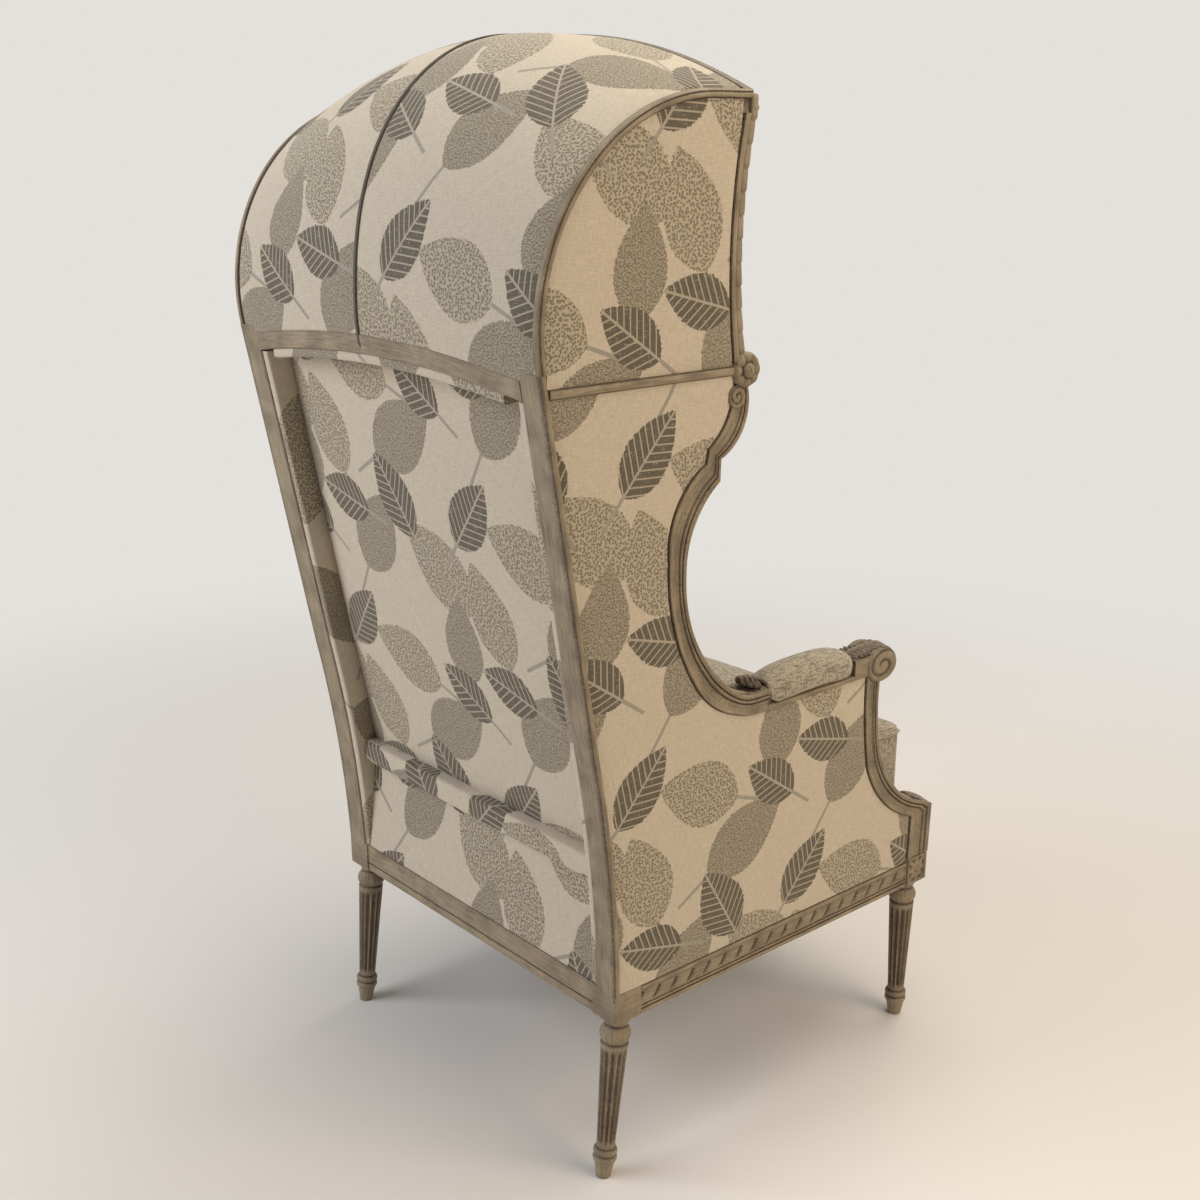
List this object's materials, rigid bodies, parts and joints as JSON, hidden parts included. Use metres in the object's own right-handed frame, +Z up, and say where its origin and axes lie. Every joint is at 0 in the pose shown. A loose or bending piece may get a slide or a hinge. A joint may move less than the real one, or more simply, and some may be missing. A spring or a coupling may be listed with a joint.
{
  "type": "confessional armchair",
  "caption": "Hooded upholstered armchair with curved wings, scrolled arms, raked back, turned legs and a loose seat cushion.",
  "frame": {"origin": "centre of the footprint on the floor", "axes": "+Z up, the chair faces -Y, +X is the sitter's left"},
  "size_m": [0.741, 0.831, 1.5907],
  "materials": {
    "painted_wood": "rubbed grey paint",
    "bare_beech": "bare",
    "tweed": "woven",
    "printed_linen": "woven, printed",
    "webbing": "jute",
    "dust_cloth": "matt",
    "braid": "woven",
    "steel": "bright"
  },
  "bodies": {
    "chair": {"arm_pad_left": "tweed", "arm_pad_right": "tweed", "arm_rail_left": "painted_wood", "arm_rail_right": "painted_wood", "arm_support_left": "painted_wood", "arm_support_right": "painted_wood", "arm_tack_rail_left": "bare_beech", "arm_tack_rail_right": "bare_beech", "back_reveal_left": "printed_linen", "back_reveal_right": "printed_linen", "back_reveal_top": "printed_linen", "back_top_rail": "painted_wood", "corner_block_screws": "steel", "corner_blocks": "bare_beech", "corner_rosette_left": "painted_wood", "corner_rosette_right": "painted_wood", "dust_cover": "dust_cloth", "frame_dowels": "bare_beech", "front_leg_left": "painted_wood", "front_leg_right": "painted_wood", "front_seat_rail": "painted_wood", "hood_centre_rib": "bare_beech", "hood_front_arch": "painted_wood", "hood_front_post_left": "painted_wood", "hood_front_post_right": "painted_wood", "hood_roof_cover": "printed_linen", "hood_roof_lining": "tweed", "hood_seam_braid": "braid", "hood_side_arch_left": "painted_wood", "hood_side_arch_right": "painted_wood", "hood_side_lining_left": "tweed", "hood_side_lining_right": "tweed", "inside_back_pad": "tweed", "inside_side_pad_left": "tweed", "inside_side_pad_right": "tweed", "lower_back_panel": "printed_linen", "lower_back_rail": "bare_beech", "lower_back_rail_cover": "printed_linen", "outside_back_panel": "printed_linen", "outside_hood_panel_left": "printed_linen", "outside_hood_panel_right": "printed_linen", "outside_side_panel_left": "printed_linen", "outside_side_panel_right": "printed_linen", "rear_post_left": "painted_wood", "rear_post_right": "painted_wood", "rear_seat_rail": "painted_wood", "seat_platform": "tweed", "seat_webbing": "webbing", "side_seat_rail_left": "painted_wood", "side_seat_rail_right": "painted_wood", "wing_divider_left": "painted_wood", "wing_divider_right": "painted_wood", "wing_edge_left": "painted_wood", "wing_edge_right": "painted_wood"},
    "cushion": {"seat_cushion": "tweed"}
  },
  "joints": [
    {"name": "cushion_slide", "type": "slide", "parent": "chair", "child": "cushion", "axis": [0, -1, 0], "range_m": [0, 0.62]}
  ]
}
